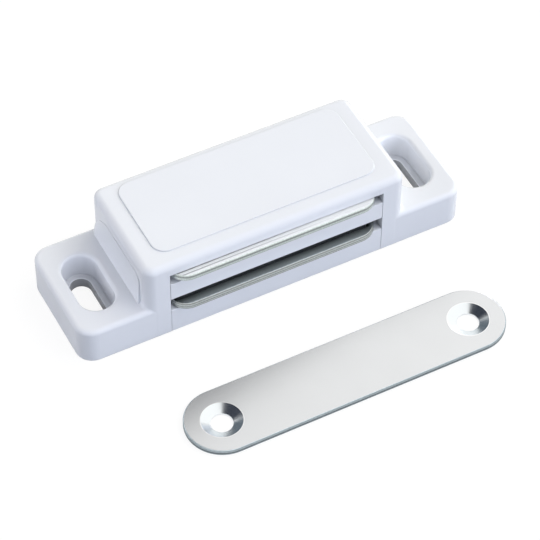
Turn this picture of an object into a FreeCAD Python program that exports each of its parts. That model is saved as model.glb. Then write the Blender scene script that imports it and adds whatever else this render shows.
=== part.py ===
import FreeCAD, Part
import math
import os

from FreeCAD import Vector

# A magnetic cupboard catch and the loose steel strike plate that goes on the door, in millimetres.
# +X runs along the catch, -Y is the side that the door closes on, and +Z points away from the surface
# that the catch is screwed to. The origin is the centre of the catch's mounting face.

# Clearances
slide_gap = 0.05            # between the loose magnet stack and what it slides on
fit_gap = 0.1               # between the base cover and the housing
seam = 0.08                 # line between the cover's front strips and the housing's jambs

# Magnet and pole plates, a loose stack that floats in the housing
magnet_length = 40.0
magnet_depth = 16.5
magnet_thickness = 6.45
magnet_edge_r = 0.4
plate_thickness = 1.45
plate_end_overhang = 1.3    # plate past the magnet at each end
plate_rear_overhang = 1.8   # plate past the magnet at the back
plate_corner_r = 3.8        # the front corners, which the door's strike meets
plate_rear_corner_r = 1.2
plate_edge_break = 0.22     # tumbled edges
pole_reach = 1.45           # plates stand this far out of the housing's face
float_travel = 1.0          # how far the door can push the stack in
stack_shift = -0.3          # the stack lies this far off centre in its side play
side_play = 0.75            # slot end to plate end, each side

# Housing
shell_wall = 1.7
lintel_height = 2.7         # housing above the upper slot
rail_drop = 0.7             # rails under the roof that hold the stack down
rail_width = 1.2
rail_places = (-17.0, -6.0, 6.0, 17.0)
stop_depth = 0.9            # ribs on the back wall that stop the stack
jamb_width = 4.85           # front wall at each side of the slots
body_corner_r = 2.2
body_edge_r = 1.4
body_proud = 0.02           # the body's front and back stand this far out of the ears'
foot_r = 0.7                # soft foot where the body rises from the ears
ear_height = 7.85
ear_corner_r = 3.4
ear_edge_r = 1.0
guide_width = 1.25          # side guides, in the housing above and in the cover below
core_wall = 2.0             # plastic left around the ears' underside pockets
core_roof = 1.7

# Raised matte panel on the roof
panel_end_margin = 4.0
panel_front_margin = 3.25
panel_back_margin = 1.7
panel_corner_r = 2.8
panel_rise = 0.25
panel_edge_break = 0.1

# Raised pads on the end walls, which back the snap recesses
pad_foot_rise = 0.5         # at the height of the ears' top
pad_top_rise = 0.1
pad_top_drop = 3.2          # body top to pad top
pad_front_margin = 2.7
pad_back_margin = 1.9
pad_front_r = 2.0
pad_back_r = 6.0

# Screw slots in the ears
screw_slot_r = 2.1
screw_slot_length = 11.8
head_seat = 1.35            # seat for the screw's head beside the slot
head_seat_end = 1.1
seat_thickness = 2.2
rim_r = 0.8
ear_end_land = 3.25         # ear's end to the screw recess
ear_root_land = 2.95        # screw recess to the body

# Base cover, which carries the stack and fills the front between and below the slots
sill_height = 5.9           # lower strip
strip_thickness = 1.6
over_lower_plate = 1.5      # lower slot's height above its plate
under_upper_plate = 0.75    # upper slot's height below its plate
over_upper_plate = 0.3
floor_thickness = 1.5
floor_ledge = 0.8           # rebate around the housing's mouth that the floor lies in
tab_depth = 1.3             # tabs that join the strips to the side guides
tab_overlap = 1.65
seat_rib_width = 1.2
seat_rib_places = (-19.0, -9.5, 0.0, 9.5, 19.0)

# Snap tongues at the cover's ends
tongue_thickness = 1.0
tongue_width = 8.4
tongue_gap = 0.3
snap_height = 9.7
nose_height = 0.7
nose_lead = 1.6
nose_reach = 1.2
recess_room = 0.3

# Strike plate, which lies in front of the catch with its countersinks up
strike_length = 65.1
strike_width = 14.3
strike_thickness = 1.25
strike_edge_break = 0.2
strike_hole_margin = 7.0    # plate's end to the hole's centre
strike_hole_r = 2.1
strike_countersink_r = 3.9
strike_land = 0.3
strike_offset_x = 2.0
strike_distance = 16.325    # housing's face to the strike's near edge
strike_closed_gap = 0.15    # strike to pole plates with the door shut

# Sizes that follow from the ones above
lower_plate_z = sill_height + slide_gap
magnet_z = lower_plate_z + plate_thickness
upper_plate_z = magnet_z + magnet_thickness
stack_top = upper_plate_z + plate_thickness
lower_slot_top = magnet_z + over_lower_plate
upper_slot_floor = upper_plate_z - under_upper_plate
window_top = stack_top + over_upper_plate
roof_under = window_top + rail_drop
body_height = window_top + lintel_height

plate_length = magnet_length + 2 * plate_end_overhang
plate_front_overhang = pole_reach + strip_thickness + slide_gap
plate_depth = plate_front_overhang + magnet_depth + plate_rear_overhang
window_half = plate_length / 2 + side_play
body_half = window_half + jamb_width
recess_r = screw_slot_r + head_seat
recess_length = screw_slot_length + 2 * head_seat_end
ear_length = ear_end_land + 2 * recess_r + ear_root_land
catch_half = body_half + ear_length
slot_x = catch_half - ear_end_land - recess_r

catch_depth = plate_depth - pole_reach + float_travel + slide_gap + stop_depth + shell_wall
front_y = -catch_depth / 2
back_y = catch_depth / 2
inner_front_y = front_y + shell_wall
inner_back_y = back_y - shell_wall
cavity_half = body_half - shell_wall
plate_front_y = front_y - pole_reach
plate_back_y = plate_front_y + plate_depth
magnet_front_y = front_y + strip_thickness + slide_gap
guide_back_y = plate_back_y
strip_back_y = front_y + strip_thickness

strike_y = front_y - strike_distance - strike_width / 2
strike_hole_spacing = strike_length - 2 * strike_hole_margin
stack_middle_z = (lower_plate_z + stack_top) / 2

# Door's hinge line: a turn of 90 degrees about it stands the strike up against the pole plates.
closed_back_y = plate_front_y - strike_closed_gap - strike_thickness
door_axis_y = (strike_y + stack_middle_z + closed_back_y) / 2
door_axis_z = (strike_y + stack_middle_z - closed_back_y) / 2

cut_over = 1.0              # cutters run this far past the faces that they open
level_tolerance = 0.01


def block(x0, x1, y0, y1, z0, z1):
    """Plain block between two corners."""
    return Part.makeBox(x1 - x0, y1 - y0, z1 - z0, Vector(x0, y0, z0))


def arc(cx, cy, z, r, start, end):
    """Arc about (cx, cy) at height z, between two angles in degrees."""
    def at(angle):
        turn = math.radians(angle)
        return Vector(cx + r * math.cos(turn), cy + r * math.sin(turn), z)
    return Part.Arc(at(start), at((start + end) / 2), at(end)).toShape()


def outline(arcs):
    """Closed face through arcs given in order, with straight edges between their ends."""
    edges = []
    for i, here in enumerate(arcs):
        following = arcs[(i + 1) % len(arcs)]
        edges.append(here)
        a = here.Vertexes[-1].Point
        b = following.Vertexes[0].Point
        if a.distanceToPoint(b) > level_tolerance:
            edges.append(Part.LineSegment(a, b).toShape())
    return Part.Face(Part.Wire(edges))


def rounded_block(x0, x1, y0, y1, z0, z1, front_r, back_r=None):
    """Block with rounded upright corners; the back pair may have a radius of its own."""
    back_r = front_r if back_r is None else back_r
    arcs = [
        arc(x0 + front_r, y0 + front_r, z0, front_r, 180, 270),
        arc(x1 - front_r, y0 + front_r, z0, front_r, 270, 360),
        arc(x1 - back_r, y1 - back_r, z0, back_r, 0, 90),
        arc(x0 + back_r, y1 - back_r, z0, back_r, 90, 180),
    ]
    return outline(arcs).extrude(Vector(0, 0, z1 - z0))


def slot_block(cx, cy, r, length, z0, z1):
    """Round-ended slot cutter along Y."""
    reach = length / 2 - r
    arcs = [arc(cx, cy + reach, z0, r, 0, 180), arc(cx, cy - reach, z0, r, 180, 360)]
    return outline(arcs).extrude(Vector(0, 0, z1 - z0))


def level_edges(shape, z):
    """Edges that lie wholly at one height."""
    return [
        edge for edge in shape.Edges
        if abs(edge.BoundBox.ZMin - z) < level_tolerance
        and abs(edge.BoundBox.ZMax - z) < level_tolerance
    ]


def softened_block(x0, x1, y0, y1, z0, z1, corner_r, edge_r):
    """Rounded block whose top edge is rounded too."""
    solid = rounded_block(x0, x1, y0, y1, z0, z1, corner_r)
    return solid.makeFillet(edge_r, level_edges(solid, z1))


def both_ends(make):
    """The same form at the left and the right end."""
    return [make(-1), make(1)]


def end_pad(side):
    """Low raised field on an end wall: its face leans in towards the top, and its back corner is wide."""
    top = body_height - pad_top_drop
    bottom = ear_height - pad_back_r
    lean = (pad_foot_rise - pad_top_rise) / (top - ear_height)
    root = body_half - shell_wall / 2
    foot = body_half + pad_foot_rise + lean * (ear_height - bottom)
    field = rounded_block(
        bottom, top, front_y + pad_front_margin, back_y - pad_back_margin, root, foot,
        pad_front_r, pad_back_r)
    field.rotate(Vector(0, 0, 0), Vector(0, 1, 0), -90)
    profile = [(root, bottom), (foot, bottom), (body_half + pad_top_rise, top), (root, top)]
    points = [Vector(-x, front_y, z) for x, z in profile]
    wedge = Part.Face(Part.makePolygon(points + points[:1])).extrude(Vector(0, catch_depth, 0))
    pad = field.common(wedge)
    return pad if side < 0 else pad.mirror(Vector(0, 0, 0), Vector(1, 0, 0))


def screw_recess(side):
    """Elongated screw slot with the wider recess that sinks the screw's head."""
    x = side * slot_x
    through = slot_block(x, 0, screw_slot_r, screw_slot_length, -cut_over, ear_height)
    head = slot_block(x, 0, recess_r, recess_length, seat_thickness, ear_height + cut_over)
    return through.fuse(head)


def ear_core(side):
    """Pockets under an ear, in front of and behind the boss around the screw recess."""
    x0 = side * (body_half + ear_edge_r / 2)
    x1 = side * (catch_half - core_wall)
    top = ear_height - core_roof
    pocket = rounded_block(
        min(x0, x1), max(x0, x1), front_y + core_wall, back_y - core_wall, -cut_over, top,
        ear_corner_r / 2)
    boss_r = recess_r + head_seat
    boss = slot_block(side * slot_x, 0, boss_r, recess_length + 2 * head_seat, -cut_over, top)
    waist = block(
        min(x0, x1), max(x0, x1), -recess_length / 2, recess_length / 2, -cut_over, top)
    return pocket.cut([boss, waist])


def snap_recess(side):
    """Recess inside an end wall that the cover's snap nose springs into."""
    x0 = side * (cavity_half - cut_over)
    x1 = side * (cavity_half + nose_reach)
    half = tongue_width / 2 + recess_room
    top = snap_height + nose_height + nose_lead + recess_room
    return block(min(x0, x1), max(x0, x1), -half, half, snap_height - fit_gap, top)


def roof_rails():
    """Rails under the roof that keep the stack down, and ribs on the back wall that stop it."""
    rails = []
    for x in rail_places:
        x0 = x - rail_width / 2
        x1 = x + rail_width / 2
        rails.append(block(x0, x1, inner_front_y, inner_back_y, window_top, roof_under))
        rails.append(block(x0, x1, inner_back_y - stop_depth, inner_back_y, sill_height, roof_under))
    for side in (-1, 1):
        x0 = side * window_half
        x1 = side * (window_half + guide_width)
        low = upper_slot_floor + fit_gap
        rails.append(block(
            min(x0, x1), max(x0, x1), inner_front_y, guide_back_y, low, roof_under))
    return rails


def make_housing():
    """Moulded shell: body with two slotted ears, hollow from below and open at the front."""
    ears = softened_block(
        -catch_half, catch_half, front_y, back_y, 0, ear_height, ear_corner_r, ear_edge_r)
    body = softened_block(
        -body_half, body_half, front_y - body_proud, back_y + body_proud, 0, body_height,
        body_corner_r, body_edge_r)
    shell = ears.fuse(body).removeSplitter()
    feet = [
        edge for edge in level_edges(shell, ear_height)
        if abs(edge.BoundBox.Center.x) < body_half + level_tolerance
    ]
    shell = shell.makeFillet(foot_r, feet)

    panel = rounded_block(
        -body_half + panel_end_margin, body_half - panel_end_margin,
        front_y + panel_front_margin, back_y - panel_back_margin,
        roof_under, body_height + panel_rise, panel_corner_r)
    panel = panel.makeChamfer(panel_edge_break, level_edges(panel, body_height + panel_rise))
    shell = shell.fuse([panel] + both_ends(end_pad)).removeSplitter()
    shell = shell.cut(both_ends(screw_recess))
    rims = [
        edge for edge in level_edges(shell, ear_height)
        if abs(abs(edge.BoundBox.Center.x) - slot_x) < recess_r + level_tolerance
        and abs(edge.BoundBox.Center.y) < recess_length / 2
    ]
    shell = shell.makeFillet(rim_r, rims)

    cavity = rounded_block(
        -cavity_half, cavity_half, inner_front_y, inner_back_y, -cut_over, roof_under,
        body_corner_r / 2)
    rebate = rounded_block(
        -cavity_half - floor_ledge, cavity_half + floor_ledge,
        inner_front_y - floor_ledge, inner_back_y + floor_ledge, -cut_over,
        floor_thickness, body_corner_r / 2)
    window = block(
        -window_half, window_half, front_y - cut_over, inner_front_y + cut_over,
        -cut_over, window_top)
    shell = shell.cut([cavity, rebate, window] + both_ends(ear_core) + both_ends(snap_recess))
    return shell.fuse(roof_rails()).removeSplitter()


def snap_tongue(side):
    """Springy tongue with a sloped nose, drawn in the XZ plane and given its width along Y."""
    outer = cavity_half - tongue_gap
    inner = outer - tongue_thickness
    nose = outer + nose_reach
    shoulder = snap_height + nose_height
    tip = shoulder + nose_lead
    profile = [
        (inner, 0), (outer, 0), (outer, snap_height), (nose, snap_height),
        (nose, shoulder), (outer, tip), (inner, tip),
    ]
    points = [Vector(side * x, -tongue_width / 2, z) for x, z in profile]
    face = Part.Face(Part.makePolygon(points + points[:1]))
    return face.extrude(Vector(0, tongue_width, 0))


def guide_frame(side):
    """Side guide behind a jamb, with the tabs that reach behind the ends of the two strips."""
    x_in = side * window_half
    x_out = side * (window_half + guide_width)
    x_tab = side * (window_half - tab_overlap)
    front = inner_front_y + fit_gap
    guide = block(
        min(x_in, x_out), max(x_in, x_out), front, guide_back_y, 0, upper_slot_floor)
    lower_tab = block(
        min(x_tab, x_out), max(x_tab, x_out), strip_back_y, strip_back_y + tab_depth,
        0, sill_height)
    upper_tab = block(
        min(x_tab, x_out), max(x_tab, x_out), strip_back_y, strip_back_y + tab_depth,
        lower_slot_top, upper_slot_floor)
    jamb = block(
        min(x_in - side * seam, x_out), max(x_in - side * seam, x_out),
        strip_back_y - cut_over, front, 0, upper_slot_floor)
    return guide.fuse([lower_tab, upper_tab]).cut(jamb)


def make_base_cover():
    """Cover that closes the housing from below and carries the loose magnet stack."""
    ledge = floor_ledge - fit_gap
    floor = rounded_block(
        -cavity_half - ledge, cavity_half + ledge, inner_front_y - ledge, inner_back_y + ledge,
        0, floor_thickness - fit_gap, body_corner_r / 2)
    strip_half = window_half - seam
    lower_strip = block(-strip_half, strip_half, front_y, strip_back_y, 0, sill_height)
    middle_strip = block(
        -strip_half, strip_half, front_y, strip_back_y, lower_slot_top, upper_slot_floor)
    parts = [lower_strip, middle_strip]
    for x in seat_rib_places:
        parts.append(block(
            x - seat_rib_width / 2, x + seat_rib_width / 2, strip_back_y, guide_back_y,
            0, sill_height))
    parts += both_ends(guide_frame)
    parts += both_ends(snap_tongue)
    return floor.fuse(parts).removeSplitter()


def make_magnet():
    """Ferrite block between the plates, with its ground edges broken."""
    solid = block(
        stack_shift - magnet_length / 2, stack_shift + magnet_length / 2,
        magnet_front_y, magnet_front_y + magnet_depth, magnet_z, upper_plate_z)
    upright = [
        edge for edge in solid.Edges
        if edge.BoundBox.ZLength > magnet_thickness - level_tolerance
    ]
    return solid.makeFillet(magnet_edge_r, upright)


def make_pole_plate(z):
    """Stamped steel plate with rounded front corners and its edges broken all round."""
    solid = rounded_block(
        stack_shift - plate_length / 2, stack_shift + plate_length / 2,
        plate_front_y, plate_back_y, z, z + plate_thickness,
        plate_corner_r, plate_rear_corner_r)
    edges = level_edges(solid, z) + level_edges(solid, z + plate_thickness)
    return solid.makeChamfer(plate_edge_break, edges)


def make_strike_plate():
    """Round-ended steel plate with two countersunk holes."""
    reach = strike_length / 2 - strike_width / 2
    arcs = [
        arc(strike_offset_x + reach, strike_y, 0, strike_width / 2, -90, 90),
        arc(strike_offset_x - reach, strike_y, 0, strike_width / 2, 90, 270),
    ]
    solid = outline(arcs).extrude(Vector(0, 0, strike_thickness))
    edges = level_edges(solid, 0) + level_edges(solid, strike_thickness)
    solid = solid.makeChamfer(strike_edge_break, edges)
    for side in (-1, 1):
        foot = Vector(strike_offset_x + side * strike_hole_spacing / 2, strike_y, 0)
        drill = Part.makeCylinder(strike_hole_r, strike_thickness, foot)
        sink = Part.makeCone(
            strike_hole_r, strike_countersink_r, strike_thickness - strike_land,
            foot + Vector(0, 0, strike_land))
        solid = solid.cut([drill, sink])
    return solid


def write(node, shape):
    """Saves one piece and prints its size, so that a change is seen at once."""
    shape.exportStep("parts/" + node + ".step")
    size = shape.optimalBoundingBox()
    print("%-18s %d solid, valid %s, %.1f x %.1f x %.1f, %.0f mm3" % (
        node, len(shape.Solids), shape.isValid(), size.XLength, size.YLength, size.ZLength,
        shape.Volume))


os.makedirs("parts", exist_ok=True)
write("housing", make_housing())
write("base_cover", make_base_cover())
write("magnet", make_magnet())
write("lower_pole_plate", make_pole_plate(lower_plate_z))
write("upper_pole_plate", make_pole_plate(upper_plate_z))
write("strike_plate", make_strike_plate())
print("catch %.2f x %.2f x %.2f, body %.2f long, slots %.2f apart, hinge line y %.3f z %.3f" % (
    2 * catch_half, catch_depth, body_height, 2 * body_half, 2 * slot_x, door_axis_y, door_axis_z))
print("pole face y %.3f, strike centre y %.3f, stack middle z %.3f" % (
    plate_front_y, strike_y, stack_middle_z))
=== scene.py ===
# %% [markdown]
# A magnetic cupboard catch and its strike plate, dressed for a studio picture.
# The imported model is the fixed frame: it already has every rigid piece in place. This script lights it,
# sets the camera and gives each piece a finish worked out by nodes. Lengths are metres, +X runs along
# the catch, -Y is the door's side and +Z points away from the surface that the catch is screwed to.

# %% Load the frame
import math

import bpy
from mathutils import Matrix, Vector


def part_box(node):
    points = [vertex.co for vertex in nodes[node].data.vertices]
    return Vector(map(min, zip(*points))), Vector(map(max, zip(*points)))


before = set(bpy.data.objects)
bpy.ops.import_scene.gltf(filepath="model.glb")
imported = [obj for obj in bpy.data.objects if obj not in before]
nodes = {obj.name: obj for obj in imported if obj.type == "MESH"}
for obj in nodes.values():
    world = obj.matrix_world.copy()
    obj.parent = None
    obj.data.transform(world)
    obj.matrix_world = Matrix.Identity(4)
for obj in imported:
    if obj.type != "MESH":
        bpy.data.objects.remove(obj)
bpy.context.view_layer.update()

MM = 0.001
print("pieces:", ", ".join(sorted(nodes)))

# %% [markdown]
# Places that the finishes need are read from the pieces' own boxes, so a finish stays on its piece.
# The panel's top, the plates' thickness and the strike's middle all come from there.

# %% Read the places
housing_low, housing_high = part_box("housing")
upper_low, upper_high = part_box("upper_pole_plate")
lower_low, lower_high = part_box("lower_pole_plate")
strike_low, strike_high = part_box("strike_plate")
strike_middle = (strike_low + strike_high) / 2
print("catch is %.1f mm high, strike is %.1f mm long" % (
    housing_high.z / MM, (strike_high.x - strike_low.x) / MM))

# %% [markdown]
# The camera stands high in front of the catch and to its left, far away behind a long lens, as for a
# catalogue picture. Its place and turn were fitted to the edges of the object in the picture: yaw and
# pitch say where it looks from, roll is the slight tilt of the frame, and the three shifts say how far
# off the middle of the picture the object's origin lies.

# %% Set the camera
VIEW_YAW = math.radians(-27.773)
VIEW_PITCH = math.radians(49.366)
VIEW_ROLL = math.radians(0.412)
VIEW_SHIFT_X = 4.004 * MM
VIEW_SHIFT_Y = -4.344 * MM
VIEW_DISTANCE = 490.006 * MM
FOCAL_PIXELS = 2576.312
FRAME_PIXELS = 540
SENSOR_MM = 36.0
NEAREST_SEEN = 10.0 * MM


def camera_frame(yaw, pitch, roll):
    """Right, up and back directions of a camera that is turned, raised and then rolled."""
    back = Vector((math.sin(yaw) * math.cos(pitch), -math.cos(yaw) * math.cos(pitch), math.sin(pitch)))
    right = Vector((math.cos(yaw), math.sin(yaw), 0.0))
    up = back.cross(right)
    turned_right = right * math.cos(roll) + up * math.sin(roll)
    turned_up = up * math.cos(roll) - right * math.sin(roll)
    return turned_right, turned_up, back


right, up, back = camera_frame(VIEW_YAW, VIEW_PITCH, VIEW_ROLL)
camera_place = right * VIEW_SHIFT_X + up * VIEW_SHIFT_Y + back * VIEW_DISTANCE
lens = bpy.data.cameras.new("studio_camera")
lens.sensor_width = SENSOR_MM
lens.lens = FOCAL_PIXELS / FRAME_PIXELS * SENSOR_MM
lens.clip_start = NEAREST_SEEN
camera = bpy.data.objects.new("studio_camera", lens)
camera.matrix_world = Matrix.Translation(camera_place) @ Matrix((right, up, back)).transposed().to_4x4()
bpy.context.scene.collection.objects.link(camera)
bpy.context.scene.camera = camera
bpy.context.scene.view_settings.view_transform = "Standard"
print("camera %.0f mm away behind a %.0f mm lens" % (VIEW_DISTANCE / MM, lens.lens))

# %% [markdown]
# Node trees read best when each node is one line. The first helper below adds a node, sets its options
# and fills its inputs. An input is either a plain value or the output of another node. The others are
# the few sums that the finishes are made of.

# %% Helpers for nodes


def add(tree, kind, inputs=(), **options):
    """One node of that kind, with its options set and its inputs filled by name or number."""
    made = tree.nodes.new(kind)
    for option, value in options.items():
        setattr(made, option, value)
    for socket, value in dict(inputs).items():
        if isinstance(value, bpy.types.NodeSocket):
            tree.links.new(value, made.inputs[socket])
        else:
            made.inputs[socket].default_value = value
    return made


def maths(tree, operation, *values):
    """Output of one Math node over values and sockets."""
    return add(tree, "ShaderNodeMath", dict(enumerate(values)), operation=operation).outputs[0]


def product(tree, first, *others):
    """All the values multiplied together."""
    for other in others:
        first = maths(tree, "MULTIPLY", first, other)
    return first


def ramp(tree, value, low, high, to_low=0.0, to_high=1.0):
    """Value eased from one range to another along a smooth step, flat outside it."""
    return add(tree, "ShaderNodeMapRange",
               {"Value": value, "From Min": low, "From Max": high, "To Min": to_low, "To Max": to_high},
               interpolation_type="SMOOTHSTEP").outputs["Result"]


def share(tree, value, low, high):
    """How far a value has come from low (0) to high (1), in a straight line."""
    return add(tree, "ShaderNodeMapRange", {"Value": value, "From Min": low, "From Max": high}).outputs[0]


def split(tree, vector):
    """The X, Y and Z of a vector."""
    return add(tree, "ShaderNodeSeparateXYZ", {0: vector}).outputs


def far(tree, across, along):
    """Distance in a plane: the root of the two squares' sum."""
    squares = maths(tree, "ADD", product(tree, across, across), product(tree, along, along))
    return maths(tree, "SQRT", squares)


def toned(tree, mask, tone):
    """1 where the mask is 0, and the tone where it is 1: the mask times the tone less 1, plus 1."""
    return maths(tree, "MULTIPLY_ADD", mask, maths(tree, "SUBTRACT", tone, 1.0), 1.0)


def seen_directly(tree):
    """1 where the ray comes from the camera, a reflection or glass, and 0 for scattered light."""
    path = add(tree, "ShaderNodeLightPath")
    mirrored = maths(tree, "MAXIMUM", path.outputs["Is Glossy Ray"], path.outputs["Is Transmission Ray"])
    return maths(tree, "MAXIMUM", path.outputs["Is Camera Ray"], mirrored)


print("helpers for nodes are ready")

# %% [markdown]
# The studio is a white floor and a white world, as in a cut-out catalogue picture. The camera, mirrors
# and glass see plain white there, but the light that falls on the object comes from five wide soft
# boxes. Each is a round glow painted on the world about its own direction: the cosine of the angle from
# that direction, raised to a power, so a higher power makes a smaller box. One hangs high on the right,
# so the body shades the left ear, and four stand low, one at each corner of the table. The ones at the
# front are bluer.

# %% Light the world
WHITE = (1.0, 1.0, 1.0, 1.0)
BOX_POWER = 6.0
SOFT_BOXES = [
    # where it stands     azimuth from +X, elevation (degrees), strength in red, green and blue
    ("high right", 347.0, 52.0, (2.20, 2.10, 1.92)),
    ("low front right", 300.0, 12.0, (2.66, 2.90, 3.44)),
    ("back right", 30.0, 20.0, (1.70, 1.76, 1.64)),
    ("low back left", 145.0, 6.0, (3.00, 3.05, 3.25)),
    ("low front left", 215.0, 4.0, (1.15, 1.24, 1.44)),
]


def soft_box(tree, direction, azimuth, elevation, strength):
    """Colour of one glow: the strength times the cosine to its direction, raised to the power."""
    turn = math.radians(azimuth)
    rise = math.radians(elevation)
    aim = (math.cos(rise) * math.cos(turn), math.cos(rise) * math.sin(turn), math.sin(rise))
    cosine = add(tree, "ShaderNodeVectorMath", {0: direction, 1: aim},
                 operation="DOT_PRODUCT").outputs["Value"]
    glow = maths(tree, "POWER", maths(tree, "MAXIMUM", cosine, 0.0), BOX_POWER)
    return add(tree, "ShaderNodeVectorMath", {0: strength, "Scale": glow}, operation="SCALE").outputs[0]


world = bpy.data.worlds.new("white_studio")
world.use_nodes = True
bpy.context.scene.world = world
sky = world.node_tree
sky.nodes.clear()
direction = add(sky, "ShaderNodeTexCoord").outputs["Generated"]
light = (0.0, 0.0, 0.0)
for title, azimuth, elevation, strength in SOFT_BOXES:
    glow = soft_box(sky, direction, azimuth, elevation, strength)
    light = add(sky, "ShaderNodeVectorMath", {0: light, 1: glow}, operation="ADD").outputs[0]
    print("soft box", title, strength)
fill = add(sky, "ShaderNodeBackground", {"Color": light, "Strength": 1.0})
white = add(sky, "ShaderNodeBackground", {"Color": WHITE, "Strength": 1.0})
mixed = add(sky, "ShaderNodeMixShader", {0: seen_directly(sky), 1: fill.outputs[0], 2: white.outputs[0]})
add(sky, "ShaderNodeOutputWorld", {"Surface": mixed.outputs[0]})
print("world is white to the camera and lights with", len(SOFT_BOXES), "soft boxes")

# %% [markdown]
# The floor is one wide sheet just under the catch. A lit white floor never comes out quite even, so for
# the camera most of its white is a glow of its own, and the rest is a dull white that the object shades.
# That rest keeps the soft shadow where the object stands. Mirrors see less glow and more shadow.
# Scattered light meets a dark floor instead, because a white one would brighten every wall from below.

# %% Lay the floor
FLOOR_SIZE = 6.0
FLOOR_DROP = 0.05 * MM
CAMERA_GLOW = 0.90
MIRROR_GLOW = 0.30
FLOOR_WHITE = 1.03
FLOOR_BOUNCE = (0.09, 0.09, 0.09, 1.0)


def floor_material():
    """Glow plus a dull white, which together make the floor's white: mostly glow for the camera."""
    material = bpy.data.materials.new("studio_floor")
    material.use_nodes = True
    tree = material.node_tree
    tree.nodes.clear()
    on_camera = add(tree, "ShaderNodeLightPath").outputs["Is Camera Ray"]
    glowing = ramp(tree, on_camera, 0.0, 1.0, MIRROR_GLOW, CAMERA_GLOW)
    dull = add(tree, "ShaderNodeBsdfDiffuse", {"Color": maths(tree, "SUBTRACT", FLOOR_WHITE, glowing)})
    glow = add(tree, "ShaderNodeEmission", {"Color": WHITE, "Strength": glowing})
    shown = add(tree, "ShaderNodeAddShader", {0: dull.outputs[0], 1: glow.outputs[0]})
    bounce = add(tree, "ShaderNodeBsdfDiffuse", {"Color": FLOOR_BOUNCE})
    both = add(tree, "ShaderNodeMixShader",
               {0: seen_directly(tree), 1: bounce.outputs[0], 2: shown.outputs[0]})
    add(tree, "ShaderNodeOutputMaterial", {"Surface": both.outputs[0]})
    return material


def stage_sheet(name, corners, material):
    """Flat sheet of the studio between four corners."""
    mesh = bpy.data.meshes.new(name)
    mesh.from_pydata([Vector(corner) for corner in corners], [], [(0, 1, 2, 3)])
    mesh.materials.append(material)
    sheet = bpy.data.objects.new(name, mesh)
    bpy.context.scene.collection.objects.link(sheet)
    return sheet


half = FLOOR_SIZE / 2
floor_corners = [(-half, -half, -FLOOR_DROP), (half, -half, -FLOOR_DROP),
                 (half, half, -FLOOR_DROP), (-half, half, -FLOOR_DROP)]
stage_sheet("floor", floor_corners, floor_material())
print("floor laid at z %.2f mm" % (-FLOOR_DROP / MM))

# %% [markdown]
# Metal needs something dark to mirror, or it looks like grey paint. So cards stand around the catch, as
# they do in a photographer's studio, and only reflections can see them. A card shows on its front alone,
# and its edges fade, as those of a card that is out of focus do. The fading comes from a mask: a value
# worked out from a point's place on the card.

# %% Helpers for cards


def card_material(name, shade, mask):
    """Glow of a shade where the mask is 1, on the front only; clear where it is 0 and from behind."""
    material = bpy.data.materials.new(name)
    material.use_nodes = True
    tree = material.node_tree
    tree.nodes.clear()
    place = add(tree, "ShaderNodeTexCoord").outputs["Object"]
    clear = add(tree, "ShaderNodeBsdfTransparent")
    shown = add(tree, "ShaderNodeEmission", {"Color": shade, "Strength": 1.0})
    in_front = maths(tree, "SUBTRACT", 1.0, add(tree, "ShaderNodeNewGeometry").outputs["Backfacing"])
    seen = product(tree, mask(tree, place), in_front)
    card = add(tree, "ShaderNodeMixShader", {0: seen, 1: clear.outputs[0], 2: shown.outputs[0]})
    add(tree, "ShaderNodeOutputMaterial", {"Surface": card.outputs[0]})
    return material


def mirror_card(name, corners, shade, mask):
    """Flat sheet between four corners, which only glossy rays meet."""
    card = stage_sheet(name, corners, card_material(name, shade, mask))
    card.visible_camera = False
    card.visible_diffuse = False
    card.visible_shadow = False
    card.visible_transmission = False
    card.visible_volume_scatter = False
    print("stood", name)


def facing_corners(middle, half):
    """Corners of a square sheet about a middle, whose front faces the origin."""
    turn = (-middle).to_track_quat("Z", "Y").to_matrix()
    ways = ((-1, -1), (1, -1), (1, 1), (-1, 1))
    return [middle + turn @ Vector((a * half, b * half, 0)) for a, b in ways]


def upright_corners(end, y, foot, top):
    """Corners of an upright sheet along X from -end to end, whose front faces -Y."""
    return [(-end, y, foot), (end, y, foot), (end, y, top), (-end, y, top)]


def disc_mask(middle, fade):
    """Mask of a soft disc: 1 near its middle, easing to 0 between two distances from it."""
    def mask(tree, place):
        """Eases the distance between the point and the disc's middle."""
        offset = add(tree, "ShaderNodeVectorMath", {0: place, 1: middle}, operation="DISTANCE")
        return ramp(tree, offset.outputs["Value"], *fade, 1.0, 0.0)
    return mask


print("helpers for cards are ready")

# %% [markdown]
# Two cards are discs far away. The dark one hangs high at the back left: the countersinks mirror it on
# their right, and the strike plate itself does when it is seen from the right. The bright one stands low
# at the back right and puts a thin light along rounded edges.

# %% Hang the two discs
DARK_SHADE = (0.02, 0.025, 0.04, 1.0)
ROUND_CARD_PLACE = Vector((-0.250, 0.110, 0.530))
ROUND_CARD_HALF = 0.44
ROUND_CARD_FADE = (0.33, 0.41)
BRIGHT_SHADE = (9.0, 9.3, 10.0, 1.0)
BRIGHT_CARD_PLACE = Vector((0.504, 0.403, 0.271))
BRIGHT_CARD_HALF = 0.16
BRIGHT_CARD_FADE = (0.06, 0.13)

mirror_card("round_card", facing_corners(ROUND_CARD_PLACE, ROUND_CARD_HALF), DARK_SHADE,
            disc_mask(ROUND_CARD_PLACE, ROUND_CARD_FADE))
mirror_card("bright_card", facing_corners(BRIGHT_CARD_PLACE, BRIGHT_CARD_HALF), BRIGHT_SHADE,
            disc_mask(BRIGHT_CARD_PLACE, BRIGHT_CARD_FADE))

# %% [markdown]
# Two more stand upright along the catch. The low card stands just in front of the pole plates and shows
# behind each countersink only, so it darkens their lower right. The roof card stands along the roof's
# front edge. The strike plate mirrors it along its back edge, more and more faintly to the right, so its
# mask fades upwards and with a lean: the further right, the lower its top.

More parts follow.
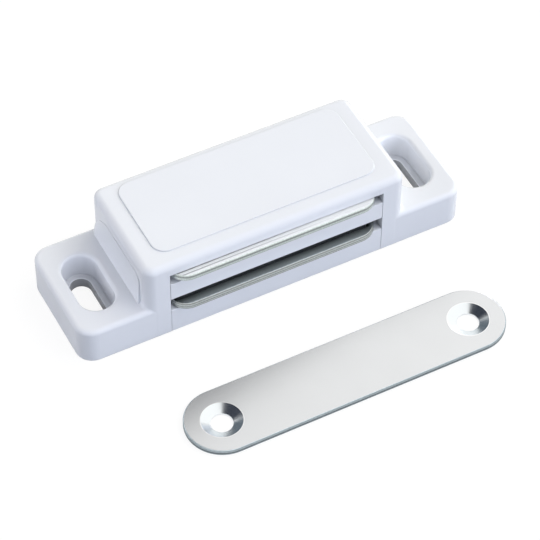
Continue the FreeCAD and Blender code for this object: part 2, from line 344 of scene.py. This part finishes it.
# %% Stand the two upright cards
CARD_END = 50.0 * MM
LOW_SHADE = (0.10, 0.125, 0.15, 1.0)
LOW_CARD_Y = -14.0 * MM
LOW_CARD_FADE = (14.5 * MM, 19.5 * MM)
LOW_CARD_MIDDLE = 3.0 * MM
LOW_CARD_OFF_MIDDLE = 25.5 * MM
LOW_CARD_SIDE_FADE = (7.5 * MM, 11.0 * MM)
ROOF_CARD_Y = -10.0 * MM
ROOF_CARD_FOOT = 18.7 * MM
ROOF_CARD_TOP = 53.0 * MM
ROOF_CARD_LEAN = 0.35
ROOF_CARD_FADE = (20.0 * MM, 38.0 * MM)
ROOF_CARD_SHARE = 0.62


def low_mask(tree, place):
    """1 behind each countersink and near the floor, easing to 0 upwards and to both sides."""
    parts = split(tree, place)
    off_middle = maths(tree, "ABSOLUTE", maths(tree, "SUBTRACT", parts["X"], LOW_CARD_MIDDLE))
    off_hole = maths(tree, "ABSOLUTE", maths(tree, "SUBTRACT", off_middle, LOW_CARD_OFF_MIDDLE))
    beside = ramp(tree, off_hole, *LOW_CARD_SIDE_FADE, 1.0, 0.0)
    rise = ramp(tree, parts["Z"], *LOW_CARD_FADE, 1.0, 0.0)
    return product(tree, beside, rise)


def roof_mask(tree, place):
    """Share of shade that eases to 0 as the height plus the lean times X grows."""
    parts = split(tree, place)
    lean = maths(tree, "MULTIPLY_ADD", parts["X"], ROOF_CARD_LEAN, parts["Z"])
    return ramp(tree, lean, *ROOF_CARD_FADE, ROOF_CARD_SHARE, 0.0)


mirror_card("low_card", upright_corners(CARD_END, LOW_CARD_Y, 0.0, LOW_CARD_FADE[1]), LOW_SHADE, low_mask)
mirror_card("roof_card", upright_corners(CARD_END, ROOF_CARD_Y, ROOF_CARD_FOOT, ROOF_CARD_TOP), DARK_SHADE,
            roof_mask)

# %% [markdown]
# Moulded plastic is never quite smooth: the mould's polish leaves a skin that rolls gently, like the peel
# of an orange, and a spark-eroded field of the mould leaves an even matte grain. Both plastic pieces
# need the same effect in different amounts, so it is a node group with named inputs. A noise's scale is
# one over the width of its features in metres: 620 gives waves of about 1.6 mm.

# %% Group: moulded skin
PEEL_SCALE = 620.0
GRAIN_SCALE = 5200.0
GRAIN_HEIGHT = 0.55
PATCH_SCALE = 140.0
PATCH_SWING = 0.02
FLOW_SCALE = 60.0
FLOW_TONE = 0.985
NOISE_LOW, NOISE_HIGH = 0.3, 0.7


def new_group(name, inputs, outputs):
    """Empty node group with float, vector or colour sockets, given as (name, kind, value)."""
    group = bpy.data.node_groups.new(name, "ShaderNodeTree")
    for socket, kind, value in inputs:
        made = group.interface.new_socket(socket, in_out="INPUT", socket_type="NodeSocket" + kind)
        if value is not None:
            made.default_value = value
    for socket, kind in outputs:
        group.interface.new_socket(socket, in_out="OUTPUT", socket_type="NodeSocket" + kind)
    entry = group.nodes.new("NodeGroupInput").outputs
    leave = group.nodes.new("NodeGroupOutput").inputs
    return group, entry, leave


def noise(tree, vector, scale, detail=2.0, rough=0.5):
    """Noise whose features are about 1/scale metres wide, from 0 to 1."""
    return add(tree, "ShaderNodeTexNoise",
               {"Vector": vector, "Scale": scale, "Detail": detail, "Roughness": rough}).outputs["Fac"]


def moulded_skin_group():
    """Rolling skin plus an even grain where the mask is 1: height, roughness and tone."""
    group, entry, leave = new_group(
        "moulded_skin",
        [("Vector", "Vector", None), ("Grain Mask", "Float", 0.0),
         ("Smooth Roughness", "Float", 0.25), ("Grain Roughness", "Float", 0.5)],
        [("Height", "Float"), ("Roughness", "Float"), ("Tone", "Float")])
    place = entry["Vector"]
    peel = noise(group, place, PEEL_SCALE, 1.0)
    grain = product(group, noise(group, place, GRAIN_SCALE, 3.0, 0.6), GRAIN_HEIGHT)
    group.links.new(maths(group, "MULTIPLY_ADD", grain, entry["Grain Mask"], peel), leave["Height"])
    patches = ramp(group, noise(group, place, PATCH_SCALE, 3.0), NOISE_LOW, NOISE_HIGH,
                   -PATCH_SWING, PATCH_SWING)
    base = add(group, "ShaderNodeMix", {0: entry["Grain Mask"], 2: entry["Smooth Roughness"],
                                        3: entry["Grain Roughness"]}).outputs[0]
    group.links.new(maths(group, "ADD", base, patches), leave["Roughness"])
    flow = ramp(group, noise(group, place, FLOW_SCALE), NOISE_LOW, NOISE_HIGH, FLOW_TONE, 1.0)
    group.links.new(flow, leave["Tone"])
    return group


moulded_skin = moulded_skin_group()
print("group:", moulded_skin.name)

# %% [markdown]
# Behind the front face the colour of the slots gets painted shade, a darkening that stands in for the shade
# inside them. Both plastic pieces show it, so it is a group as well. Its tone falls from 1 at the face to a
# dark grey inside, less dark towards the two ends of the window, and it stays 1 everywhere outside the
# window that the plates stand in.

# %% Group: painted slot shade
WINDOW_HALF = 22.1 * MM
WINDOW_TOP = 15.66 * MM
WINDOW_SILL = 3.0 * MM
SLOT_SHADE_START = housing_low.y + 0.05 * MM
SLOT_SHADE_END = housing_low.y + 1.7 * MM
SLOT_SHADE_BACK = (5.0 * MM, 8.0 * MM)
# darkest tone of the painted shade inside the slots
SLOT_SHADE_TONE = 0.30
SLOT_SHADE_SIDE = (19.6 * MM, 20.8 * MM)
SLOT_SHADE_SIDE_SHARE = 0.4
SHARP = 0.02 * MM


def slot_shade_group():
    """Painted shade: a tone that falls with the depth behind the front face, inside the plates' window
    only.
    """
    group, entry, leave = new_group("painted_slot_shade", [("Vector", "Vector", None)], [("Tone", "Float")])
    parts = split(group, entry["Vector"])
    off_middle = maths(group, "ABSOLUTE", parts["X"])
    deeper = ramp(group, parts["Y"], SLOT_SHADE_START, SLOT_SHADE_END)
    before_back = ramp(group, parts["Y"], *SLOT_SHADE_BACK, 1.0, 0.0)
    beside = ramp(group, off_middle, WINDOW_HALF, WINDOW_HALF + SHARP, 1.0, 0.0)
    under = ramp(group, parts["Z"], WINDOW_TOP, WINDOW_TOP + SHARP, 1.0, 0.0)
    above = ramp(group, parts["Z"], WINDOW_SILL, WINDOW_SILL + SHARP)
    lighter_at_ends = ramp(group, off_middle, *SLOT_SHADE_SIDE, 1.0, SLOT_SHADE_SIDE_SHARE)
    # painted shade: darker with depth inside the window, lighter towards its ends
    shade_in_slots = product(group, deeper, before_back, beside, under, above, lighter_at_ends)
    group.links.new(toned(group, shade_in_slots, SLOT_SHADE_TONE), leave["Tone"])
    return group


painted_slot_shade = slot_shade_group()
print("group:", painted_slot_shade.name)

# %% [markdown]
# Every finish starts from one Principled shader and reads Object coordinates. A frame piece sits at the
# origin, so on it those are its real places in the model, and a mask can be built from plain lengths.

# %% Helpers for finishes


def finish_shader(name):
    """Material with an empty tree, its Principled shader and its Object coordinates."""
    material = bpy.data.materials.new(name)
    material.use_nodes = True
    tree = material.node_tree
    tree.nodes.clear()
    shader = add(tree, "ShaderNodeBsdfPrincipled")
    add(tree, "ShaderNodeOutputMaterial", {"Surface": shader.outputs[0]})
    place = add(tree, "ShaderNodeTexCoord").outputs["Object"]
    return material, tree, shader, place


def tinted(tree, colour, tone):
    """One colour made lighter or darker by a tone around 1."""
    return add(tree, "ShaderNodeVectorMath", {0: colour, 1: tone}, operation="MULTIPLY").outputs[0]


def blend(tree, mask, colour_at_0, colour_at_1):
    """One colour where the mask is 0 and the other where it is 1."""
    return add(tree, "ShaderNodeMix", {"Factor": mask, 6: colour_at_0, 7: colour_at_1},
               data_type="RGBA").outputs[2]


def between(tree, mask, value_at_0, value_at_1):
    """One value where the mask is 0 and the other where it is 1."""
    return add(tree, "ShaderNodeMix", {0: mask, 2: value_at_0, 3: value_at_1}).outputs[0]


def surface(tree, shader, height, strength, distance, edge_radius):
    """Bumps from a height over edges whose shading is rounded to a radius."""
    soft = add(tree, "ShaderNodeBevel", {"Radius": edge_radius}, samples=8)
    bump = add(tree, "ShaderNodeBump", {"Strength": strength, "Distance": distance, "Height": height,
                                        "Normal": soft.outputs[0]})
    tree.links.new(bump.outputs[0], shader.inputs["Normal"])


def dress(node, material):
    """Puts a finish on a frame piece through its object's own material slots."""
    piece = nodes[node]
    for slot in piece.material_slots:
        slot.link = "OBJECT"
        slot.material = material
    print(node, "wears", material.name)


print("helpers for finishes are ready")

# %% [markdown]
# The screw slots. Each ear has a rounded recess with a seat at its bottom and the slot through it. Their
# colour holds painted shade on the slot's own wall below the seat, painted light on the recess walls above
# it, a painted highlight as a pale rim along the slot on the seat, and painted shade in the seat's corner
# along the wall. The distance from a slot's middle line says which part a point is on, and its height does
# the rest. Both ears are the same, so the absolute of X does for both.

# %% Screw slot painted light and shade
SLOT_X = 33.3 * MM
SLOT_REACH = 3.8 * MM
SLOT_RADIUS = 2.1 * MM
RECESS_RADIUS = 3.45 * MM
SEAT_HEIGHT = 2.2 * MM
# tones of the painted shade and painted light in the screw slots
SLOT_WALL_SHADE_TONE = 0.6
RECESS_WALL_LIGHT_TONE = 1.09
RECESS_WALL_LIGHT_FADE = 2.0 * MM
SEAT_RIM_HIGHLIGHT_TONE = 1.12
SEAT_RIM_HIGHLIGHT = (SLOT_RADIUS + 0.2 * MM, SLOT_RADIUS + 0.3 * MM)
SEAT_CORNER_SHADE_TONE = 0.9
SEAT_CORNER_SHADE = (RECESS_RADIUS - 0.4 * MM, RECESS_RADIUS - 0.1 * MM)
SEAT_TOP = (SEAT_HEIGHT + 0.3 * MM, SEAT_HEIGHT + 0.4 * MM)


def screw_slot_light_and_shade(tree, place):
    """Painted light and shade of the slots' walls, seats and recess walls, and 1 outside the recesses."""
    parts = split(tree, place)
    across = maths(tree, "SUBTRACT", maths(tree, "ABSOLUTE", parts["X"]), SLOT_X)
    past_reach = maths(tree, "SUBTRACT", maths(tree, "ABSOLUTE", parts["Y"]), SLOT_REACH)
    out = far(tree, across, maths(tree, "MAXIMUM", past_reach, 0.0))
    inside = ramp(tree, out, RECESS_RADIUS + SHARP, RECESS_RADIUS + 3 * SHARP, 1.0, 0.0)
    # painted shade on the slot wall below the seat, painted light on the recess walls, a painted highlight
    # along the slot's edge on the seat and painted shade in the seat's corner
    slot_wall_shade = ramp(tree, parts["Z"], SEAT_HEIGHT - 3 * SHARP, SEAT_HEIGHT - SHARP, SLOT_WALL_SHADE_TONE, 1.0)
    recess_wall_light = ramp(tree, parts["Z"], SEAT_HEIGHT, SEAT_HEIGHT + RECESS_WALL_LIGHT_FADE, 1.0, RECESS_WALL_LIGHT_TONE)
    rim_highlight = ramp(tree, out, *SEAT_RIM_HIGHLIGHT, SEAT_RIM_HIGHLIGHT_TONE, 1.0)
    corner = ramp(tree, out, *SEAT_CORNER_SHADE, 1.0, SEAT_CORNER_SHADE_TONE)
    on_seat = ramp(tree, parts["Z"], *SEAT_TOP, 1.0, 0.0)
    seat = toned(tree, on_seat, product(tree, rim_highlight, corner))
    return toned(tree, inside, product(tree, slot_wall_shade, recess_wall_light, seat))


print("screw slots lie %.1f mm off the middle" % (SLOT_X / MM))

# %% [markdown]
# Plastic finishes. The shell and the cover are the same glossy white, a little blue. The raised panel on
# the roof is the matte field, found by its height alone, and the thin step round it gets painted shade, a
# darker tone in its colour. A Bevel node rounds the shading of edges that the mould leaves sharp, so they
# catch a thin line of light, as real edges do.

# %% Plastic finishes
PLASTIC_WHITE = (0.86, 0.875, 0.915)
PLASTIC_ROUGHNESS = 0.22
PLASTIC_SPECULAR = 0.3
GRAIN_ROUGHNESS = 0.5
SKIN_STRENGTH = 0.35
SKIN_DEPTH = 0.02 * MM
SHELL_EDGE = 0.18 * MM
COVER_EDGE = 0.12 * MM
PANEL_TOP = housing_high.z
GRAIN_STEP = (PANEL_TOP - 0.15 * MM, PANEL_TOP - 0.09 * MM)
STEP_FOOT = (PANEL_TOP - 0.23 * MM, PANEL_TOP - 0.20 * MM)
STEP_HEAD = (PANEL_TOP - 0.05 * MM, PANEL_TOP - 0.02 * MM)
# darker tone of the painted shade on the panel's step
STEP_SHADE_TONE = 0.78


def panel_step_shade(tree, height):
    """Painted shade: a darker tone between the foot and the head of the step round the roof panel."""
    above_foot = ramp(tree, height, *STEP_FOOT)
    below_head = ramp(tree, height, *STEP_HEAD, 1.0, 0.0)
    return toned(tree, product(tree, above_foot, below_head), STEP_SHADE_TONE)


def plastic(name, edge_radius, has_panel_and_slots):
    """Glossy moulded plastic with painted shade inside the slots, and the panel's grain, its step's painted
    shade and the screw slots' painted light and shade where the piece has them.
    """
    material, tree, shader, place = finish_shader(name)
    skin = add(tree, "ShaderNodeGroup", node_tree=moulded_skin)
    tree.links.new(place, skin.inputs["Vector"])
    skin.inputs["Smooth Roughness"].default_value = PLASTIC_ROUGHNESS
    skin.inputs["Grain Roughness"].default_value = GRAIN_ROUGHNESS
    # painted shade inside the slots
    shade_in_slots = add(tree, "ShaderNodeGroup", node_tree=painted_slot_shade)
    tree.links.new(place, shade_in_slots.inputs["Vector"])
    tone = product(tree, skin.outputs["Tone"], shade_in_slots.outputs["Tone"])
    if has_panel_and_slots:
        height = split(tree, place)["Z"]
        tree.links.new(ramp(tree, height, *GRAIN_STEP), skin.inputs["Grain Mask"])
        # painted light and shade in the screw slots and painted shade on the panel's step
        tone = product(tree, tone, screw_slot_light_and_shade(tree, place), panel_step_shade(tree, height))
    surface(tree, shader, skin.outputs["Height"], SKIN_STRENGTH, SKIN_DEPTH, edge_radius)
    tree.links.new(skin.outputs["Roughness"], shader.inputs["Roughness"])
    tree.links.new(tinted(tree, PLASTIC_WHITE, tone), shader.inputs["Base Color"])
    shader.inputs["Specular IOR Level"].default_value = PLASTIC_SPECULAR
    return material


dress("housing", plastic("shell_white", SHELL_EDGE, True))
dress("base_cover", plastic("cover_white", COVER_EDGE, False))

# %% [markdown]
# Steel. Rolled sheet has fine streaks along the direction that it was rolled in, here along X. Where
# it was sheared, the edge is darker and rougher, in bands from the shiny cut to the torn break, with
# torn flecks over them. The two groups below give those effects, and all three steel pieces use them.

# %% Groups: rolled steel and sheared edge
STREAK_STRETCH = (0.035, 1.0, 1.0)
STREAK_SCALE = 5200.0
STREAK_TONE = 0.10
STREAK_ROUGHNESS = 0.04
DRIFT_SCALE = 150.0
DRIFT_TONE = 0.06
DRIFT_ROUGHNESS = 0.3
FLECK_SCALE = 3400.0
FLECK_EDGES = (0.42, 0.62)
FLECK_TONE = 0.82
TORN_ROUGHNESS, CUT_ROUGHNESS = 0.42, 0.30


def swing(tree, pattern, amount):
    """A pattern from 0 to 1 turned into a swing about 0, times an amount."""
    return product(tree, maths(tree, "SUBTRACT", pattern, 0.5), amount)


def rolled_steel_group():
    """Fine streaks along X over soft patches: tone, roughness and height."""
    group, entry, leave = new_group(
        "rolled_steel",
        [("Vector", "Vector", None), ("Base Roughness", "Float", 0.25), ("Streaks", "Float", 1.0)],
        [("Tone", "Float"), ("Roughness", "Float"), ("Height", "Float")])
    drawn = add(group, "ShaderNodeMapping", {"Vector": entry["Vector"], "Scale": STREAK_STRETCH})
    streaks = swing(group, noise(group, drawn.outputs[0], STREAK_SCALE, 3.0, 0.65), entry["Streaks"])
    drift = swing(group, noise(group, entry["Vector"], DRIFT_SCALE, 3.0), DRIFT_TONE)
    tone = maths(group, "ADD", maths(group, "MULTIPLY_ADD", streaks, STREAK_TONE, 1.0), drift)
    streaked = maths(group, "MULTIPLY_ADD", streaks, STREAK_ROUGHNESS, entry["Base Roughness"])
    worn = product(group, drift, DRIFT_ROUGHNESS)
    group.links.new(tone, leave["Tone"])
    group.links.new(maths(group, "ADD", streaked, worn), leave["Roughness"])
    group.links.new(streaks, leave["Height"])
    return group


def sheared_edge_group():
    """Torn flecks over the bands of a sheared edge: tone and roughness."""
    group, entry, leave = new_group(
        "sheared_edge",
        [("Vector", "Vector", None), ("Band", "Float", 1.0)],
        [("Tone", "Float"), ("Roughness", "Float")])
    torn = ramp(group, noise(group, entry["Vector"], FLECK_SCALE, 3.0, 0.7), *FLECK_EDGES, FLECK_TONE, 1.0)
    group.links.new(product(group, entry["Band"], torn), leave["Tone"])
    group.links.new(ramp(group, torn, FLECK_TONE, 1.0, TORN_ROUGHNESS, CUT_ROUGHNESS), leave["Roughness"])
    return group


rolled_steel = rolled_steel_group()
sheared_edge = sheared_edge_group()
print("groups:", rolled_steel.name, sheared_edge.name)

# %% [markdown]
# A steel piece is a plate between two heights. Its level runs from 0 at the bottom face to 1 at the top
# one, and everything between the two faces is its edge. The helpers below place the two groups by that
# level, so the pole plates and the strike plate share them.

# %% Helpers for steel
FACE_LEVEL = (0.485, 0.495)
STEEL_EDGE = 0.08 * MM
STEEL_DEPTH = 0.01 * MM


def banded(tree, value, stops):
    """Tone that follows a value from 0 to 1 through (value, tone) stops."""
    ramped = add(tree, "ShaderNodeValToRGB", {"Fac": value})
    elements = ramped.color_ramp.elements
    elements.remove(elements[1])
    elements[0].position, elements[0].color = stops[0][0], (stops[0][1],) * 3 + (1.0,)
    for position, tone in stops[1:]:
        elements.new(position).color = (tone,) * 3 + (1.0,)
    return ramped.outputs["Color"]


def on_face(tree, level):
    """1 on the two faces, where the level is half a thickness off its middle, and 0 on the edge."""
    return ramp(tree, maths(tree, "ABSOLUTE", maths(tree, "SUBTRACT", level, 0.5)), *FACE_LEVEL)


def rolled_face(tree, place, roughness, streaks):
    """The rolled steel group, placed with its own roughness and amount of streaks."""
    rolled = add(tree, "ShaderNodeGroup", node_tree=rolled_steel)
    tree.links.new(place, rolled.inputs["Vector"])
    rolled.inputs["Base Roughness"].default_value = roughness
    rolled.inputs["Streaks"].default_value = streaks
    return rolled.outputs


def sheared_side(tree, place, level, stops):
    """The sheared edge group, placed with its own bands over the level."""
    sheared = add(tree, "ShaderNodeGroup", node_tree=sheared_edge)
    tree.links.new(place, sheared.inputs["Vector"])
    tree.links.new(banded(tree, level, stops), sheared.inputs["Band"])
    return sheared.outputs


print("helpers for steel are ready")

# %% [markdown]
# Pole plates. Bright zinc covers them. The lower one is clean and smooth, so it mirrors its dark slot.
# The upper one has painted reflection on its face: a whitish, half dull face with low Metallic stands in
# for the bright reflection that it shows, and bands along its length paint a dark reflected streak between
# two white ones that fades out to the right, with painted shadow along the back under the lintel. The edges
# of both are a grey with a green cast, in bands from the shear, with a painted highlight along their top,
# and on the lower one a painted shadow along their foot.

# %% Painted reflection bands of the upper plate
PLATE_FRONT = upper_low.y
REFLECTION_BAND_DEPTH = 1.5 * MM
REFLECTION_BAND_WANDER = 0.25 * MM
REFLECTION_BAND_WANDER_SCALE = 40.0
REFLECTION_BAND_FADE = (-18.0 * MM, 14.0 * MM)
REFLECTION_BAND_LEFT_OVER = 0.15
# painted reflection bands: a dark reflected streak between two white ones, and painted shadow under the
# lintel at the back
PAINTED_REFLECTION_BANDS = [(0.0, 1.0), (0.38, 1.0), (0.46, 0.42), (0.56, 0.48), (0.62, 1.0), (0.92, 1.0),
                 (0.96, 0.45), (1.0, 0.35)]


def painted_reflection_tone(tree, place):
    """Painted reflection bands along X by the depth behind the plate's front, with painted shadow at the
    back, wandering a little and fading to the right.
    """
    parts = split(tree, place)
    wander = swing(tree, noise(tree, place, REFLECTION_BAND_WANDER_SCALE, 1.0), REFLECTION_BAND_WANDER)
    depth = share(tree, maths(tree, "ADD", parts["Y"], wander), PLATE_FRONT, PLATE_FRONT + REFLECTION_BAND_DEPTH)
    fading = ramp(tree, parts["X"], *REFLECTION_BAND_FADE, 1.0, REFLECTION_BAND_LEFT_OVER)
    return toned(tree, fading, banded(tree, depth, PAINTED_REFLECTION_BANDS))


print("burnished strip is %.1f mm deep" % (REFLECTION_BAND_DEPTH / MM))

# %% Pole plate finishes
CLEAN_FACE = (0.80, 0.85, 0.845)
CLEAN_ROUGHNESS = 0.10
# whitish, half dull face that stands in for the plate's bright reflection: painted reflection
PAINTED_REFLECTION_FACE = (0.99, 1.0, 0.995)
DULL_FACE_ROUGHNESS = 0.40
DULL_FACE_METALLIC = 0.1
UPPER_EDGE = (0.64, 0.70, 0.685)
LOWER_EDGE = (0.58, 0.62, 0.61)
# shear bands of the upper edge, with a painted highlight along its top (tones above 1)
UPPER_EDGE_BANDS_AND_HIGHLIGHT = [(0.0, 0.45), (0.10, 0.82), (0.30, 0.98), (0.50, 0.98), (0.60, 0.56), (0.80, 0.50),
               (0.88, 0.90), (0.94, 1.4), (1.0, 1.4)]
# shear bands of the lower edge, with a painted shadow along its foot and a painted highlight along its top
LOWER_EDGE_BANDS_HIGHLIGHT_AND_SHADOW = [(0.0, 0.14), (0.16, 0.20), (0.26, 0.82), (0.38, 0.92), (0.48, 0.50), (0.56, 0.48),
               (0.64, 0.95), (0.78, 1.0), (0.86, 0.50), (0.92, 0.52), (1.0, 1.4)]
PLATE_STREAKS = 0.3
PLATE_BUMP = 0.25


def plate_steel(name, low, high, edge, bands, painted_reflection):
    """Rolled faces and sheared edges of a plate between two heights; the last flag gives its faces a
    whitish painted reflection with painted reflection bands.
    """
    material, tree, shader, place = finish_shader(name)
    level = share(tree, split(tree, place)["Z"], low, high)
    face = on_face(tree, level)
    rolled = rolled_face(tree, place, DULL_FACE_ROUGHNESS if painted_reflection else CLEAN_ROUGHNESS, PLATE_STREAKS)
    sheared = sheared_side(tree, place, level, bands)
    if painted_reflection:
        # painted reflection on the upper plate's face
        tone = product(tree, rolled["Tone"], painted_reflection_tone(tree, place))
        face_colour = tinted(tree, PAINTED_REFLECTION_FACE, tone)
        tree.links.new(toned(tree, face, DULL_FACE_METALLIC), shader.inputs["Metallic"])
    else:
        face_colour = tinted(tree, CLEAN_FACE, rolled["Tone"])
        shader.inputs["Metallic"].default_value = 1.0
    colour = blend(tree, face, tinted(tree, edge, sheared["Tone"]), face_colour)
    tree.links.new(colour, shader.inputs["Base Color"])
    roughness = between(tree, face, sheared["Roughness"], rolled["Roughness"])
    tree.links.new(roughness, shader.inputs["Roughness"])
    surface(tree, shader, rolled["Height"], PLATE_BUMP, STEEL_DEPTH, STEEL_EDGE)
    return material


dress("upper_pole_plate",
      plate_steel("upper_plate_steel", upper_low.z, upper_high.z, UPPER_EDGE, UPPER_EDGE_BANDS_AND_HIGHLIGHT, True))
dress("lower_pole_plate",
      plate_steel("lower_plate_steel", lower_low.z, lower_high.z, LOWER_EDGE, LOWER_EDGE_BANDS_HIGHLIGHT_AND_SHADOW, False))

# %% [markdown]
# Strike plate. Its face is a fine satin, its edge blue-grey with the dark line of the shear and a painted
# highlight, a bright line along its broken top corner. The countersinks are turned bright, with fine rings,
# and a thin white ring round each is a painted highlight. They are found by their distance from the hole
# centres: the plate is the same left and right, so the absolute of X about its middle does for both. They
# stop short of the plate's back.

# %% Strike plate finish
STRIKE_FACE = (0.795, 0.803, 0.808)
STRIKE_EDGE = (0.46, 0.53, 0.565)
# shear bands of the strike's edge, with a painted highlight along its top (tones above 1)
STRIKE_EDGE_BANDS_AND_HIGHLIGHT = [(0.0, 0.24), (0.08, 0.78), (0.32, 0.86), (0.40, 0.20), (0.52, 0.20), (0.58, 0.82),
                (0.82, 0.88), (0.93, 0.82), (0.955, 1.75), (1.0, 1.75)]
STRIKE_ROUGHNESS = 0.22
STRIKE_STREAKS = 0.2
STRIKE_BUMP = 0.2
HOLE_MARGIN = 7.0 * MM
SINK_RADIUS = 3.9 * MM
SINK_COLOUR = (0.93, 0.965, 0.98)
SINK_ROUGHNESS = 0.22
# width of the painted highlight ring round each countersink
RIM_HIGHLIGHT_WIDTH = 0.15 * MM
RING_WIDTH = 0.12 * MM
RING_TONE = 0.03
BACK_LEVEL = (0.01, 0.03)


def hole_distance(tree, centred):
    """Distance from the nearer hole's middle, in the plate's plane."""
    parts = split(tree, centred)
    reach = (strike_high.x - strike_low.x) / 2 - HOLE_MARGIN
    along = maths(tree, "SUBTRACT", maths(tree, "ABSOLUTE", parts["X"]), reach)
    return far(tree, along, parts["Y"])


def strike_steel(name):
    """Satin face, sheared edge with a painted highlight, bright turned countersinks and a painted highlight
    ring round each.
    """
    material, tree, shader, place = finish_shader(name)
    centred = add(tree, "ShaderNodeMapping", {"Vector": place, "Location": -strike_middle}).outputs[0]
    out = hole_distance(tree, centred)
    half = (strike_high.z - strike_low.z) / 2
    level = share(tree, split(tree, centred)["Z"], -half, half)
    face = on_face(tree, level)
    above_back = ramp(tree, level, *BACK_LEVEL)
    sunk = product(tree, ramp(tree, out, SINK_RADIUS + SHARP, SINK_RADIUS - SHARP), above_back)
    within_rim_highlight = ramp(tree, out, SINK_RADIUS + RIM_HIGHLIGHT_WIDTH, SINK_RADIUS + RIM_HIGHLIGHT_WIDTH - SHARP)
    rim_highlight = product(tree, within_rim_highlight, above_back)
    rolled = rolled_face(tree, place, STRIKE_ROUGHNESS, STRIKE_STREAKS)
    sheared = sheared_side(tree, place, level, STRIKE_EDGE_BANDS_AND_HIGHLIGHT)
    rings = maths(tree, "SINE", product(tree, out, 2 * math.pi / RING_WIDTH))
    sink_colour = tinted(tree, SINK_COLOUR, maths(tree, "MULTIPLY_ADD", rings, RING_TONE, 1.0))
    # painted highlight: a white ring round each countersink
    face_colour = blend(tree, rim_highlight, tinted(tree, STRIKE_FACE, rolled["Tone"]), WHITE)
    plain = blend(tree, face, tinted(tree, STRIKE_EDGE, sheared["Tone"]), face_colour)
    plain_roughness = between(tree, face, sheared["Roughness"], rolled["Roughness"])
    tree.links.new(blend(tree, sunk, plain, sink_colour), shader.inputs["Base Color"])
    tree.links.new(between(tree, sunk, plain_roughness, SINK_ROUGHNESS), shader.inputs["Roughness"])
    surface(tree, shader, rolled["Height"], STRIKE_BUMP, STEEL_DEPTH, STEEL_EDGE)
    shader.inputs["Metallic"].default_value = 1.0
    return material


dress("strike_plate", strike_steel("strike_satin"))

# %% [markdown]
# Magnet. Sintered ferrite is a dark, dull ceramic, ground flat, with a fine uneven grain. Only a sliver
# of it could show through the slots, and one noise gives its tone, its roughness and its pits.

# %% Magnet finish
FERRITE = (0.045, 0.046, 0.05)
FERRITE_GRAIN_SCALE = 2600.0
FERRITE_GRAIN = (0.35, 0.75)
FERRITE_TONES = (0.7, 1.5)
FERRITE_ROUGHNESS = (0.5, 0.62)
PIT_STRENGTH = 0.5
PIT_DEPTH = 0.02 * MM


def ferrite(name):
    """Dark ground ceramic whose tone and roughness follow a fine grain."""
    material, tree, shader, place = finish_shader(name)
    grain = noise(tree, place, FERRITE_GRAIN_SCALE, 4.0, 0.7)
    tone = ramp(tree, grain, *FERRITE_GRAIN, *FERRITE_TONES)
    bump = add(tree, "ShaderNodeBump", {"Strength": PIT_STRENGTH, "Distance": PIT_DEPTH, "Height": grain})
    tree.links.new(tinted(tree, FERRITE, tone), shader.inputs["Base Color"])
    tree.links.new(ramp(tree, grain, NOISE_LOW, NOISE_HIGH, *FERRITE_ROUGHNESS), shader.inputs["Roughness"])
    tree.links.new(bump.outputs[0], shader.inputs["Normal"])
    return material


dress("magnet", ferrite("ferrite"))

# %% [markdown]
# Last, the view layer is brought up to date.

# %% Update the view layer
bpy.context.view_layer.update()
